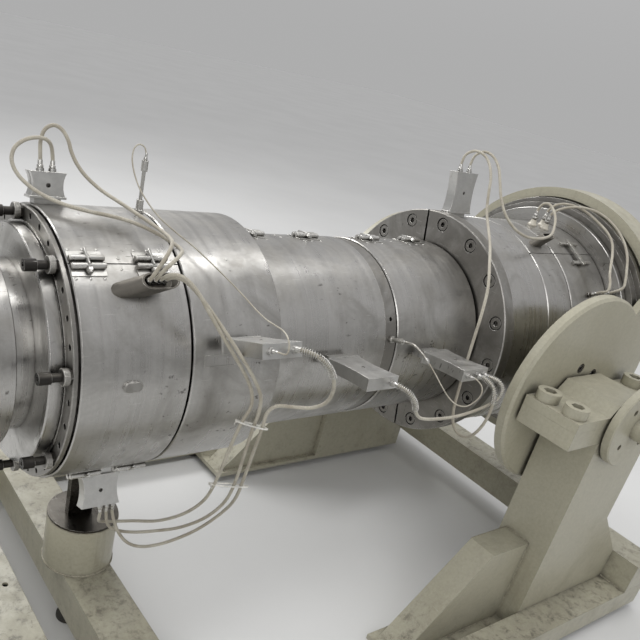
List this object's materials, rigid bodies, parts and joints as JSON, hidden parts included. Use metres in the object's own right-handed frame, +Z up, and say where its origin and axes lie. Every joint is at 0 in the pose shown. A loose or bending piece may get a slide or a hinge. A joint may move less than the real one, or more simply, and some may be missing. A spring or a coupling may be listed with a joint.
{
  "type": "pipe extrusion die head",
  "caption": "Stepped pipe extrusion die head with split heater bands and terminal boxes, carried by trunnions on a welded floor frame.",
  "frame": {"origin": "on the floor, at the centre of the foot below the front post", "axes": "+X along the die axis from the mouth to the melt inlet, +Z up, -Y is the operator's side with the sideways terminal boxes"},
  "size_m": [2.809, 1.73, 1.7168],
  "materials": {
    "die_steel": "turned and ground steel, smudged",
    "dark_steel": "oiled dark steel",
    "band_steel": "thin sheet steel, scuffed",
    "zinc_steel": "bright zinc plate",
    "black_screw": "black oxide, satin",
    "box_metal": "satin",
    "frame_paint": "greenish cream gloss paint, grimy",
    "lead_sleeve": "woven glass sleeve, greyed"
  },
  "bodies": {
    "root": {"mandrel": "die_steel", "lip_ring": "die_steel", "face_plate": "dark_steel", "clamp_ring": "dark_steel", "adjusting_screws": "black_screw", "front_body": "die_steel", "step_bolts": "zinc_steel", "front_band_1": "band_steel", "front_band_2": "band_steel", "neck_band_1": "band_steel", "neck_band_2": "band_steel", "rear_band_1": "band_steel", "rear_band_2": "band_steel", "front_latches": "zinc_steel", "neck_latches": "zinc_steel", "rear_latches": "zinc_steel", "cable_outlets": "band_steel", "neck_body": "die_steel", "sensor_ring": "dark_steel", "neck_sensor": "zinc_steel", "top_sensor": "zinc_steel", "split_flange": "dark_steel", "flange_bolts": "black_screw", "rear_body": "die_steel", "rear_plate": "die_steel", "rear_plugs": "die_steel", "backing_ring": "dark_steel", "housing": "frame_paint", "inlet_neck": "die_steel", "side_discs": "frame_paint", "disc_bolts": "black_screw", "shafts": "die_steel", "end_discs": "frame_paint", "bearing_bases": "frame_paint", "bearing_caps": "frame_paint", "bearing_screws": "frame_paint", "pedestal_near": "frame_paint", "pedestal_far": "frame_paint", "side_rail_near": "frame_paint", "side_rail_far": "frame_paint", "rail_caps": "frame_paint", "cross_beams": "frame_paint", "feet": "black_screw", "post": "frame_paint", "post_cap": "dark_steel", "post_fin": "dark_steel", "upright_boxes": "box_metal", "side_boxes": "box_metal", "lead_mouth_1": "lead_sleeve", "lead_mouth_2": "lead_sleeve", "lead_low_1": "lead_sleeve", "lead_low_2": "lead_sleeve", "lead_low_3": "lead_sleeve", "lead_side": "lead_sleeve", "lead_rear": "lead_sleeve", "lead_stud": "lead_sleeve", "lead_tail_1": "lead_sleeve", "lead_tail_2": "lead_sleeve", "lead_sensor_top": "lead_sleeve", "lead_sensor_neck": "lead_sleeve"}
  },
  "joints": []
}
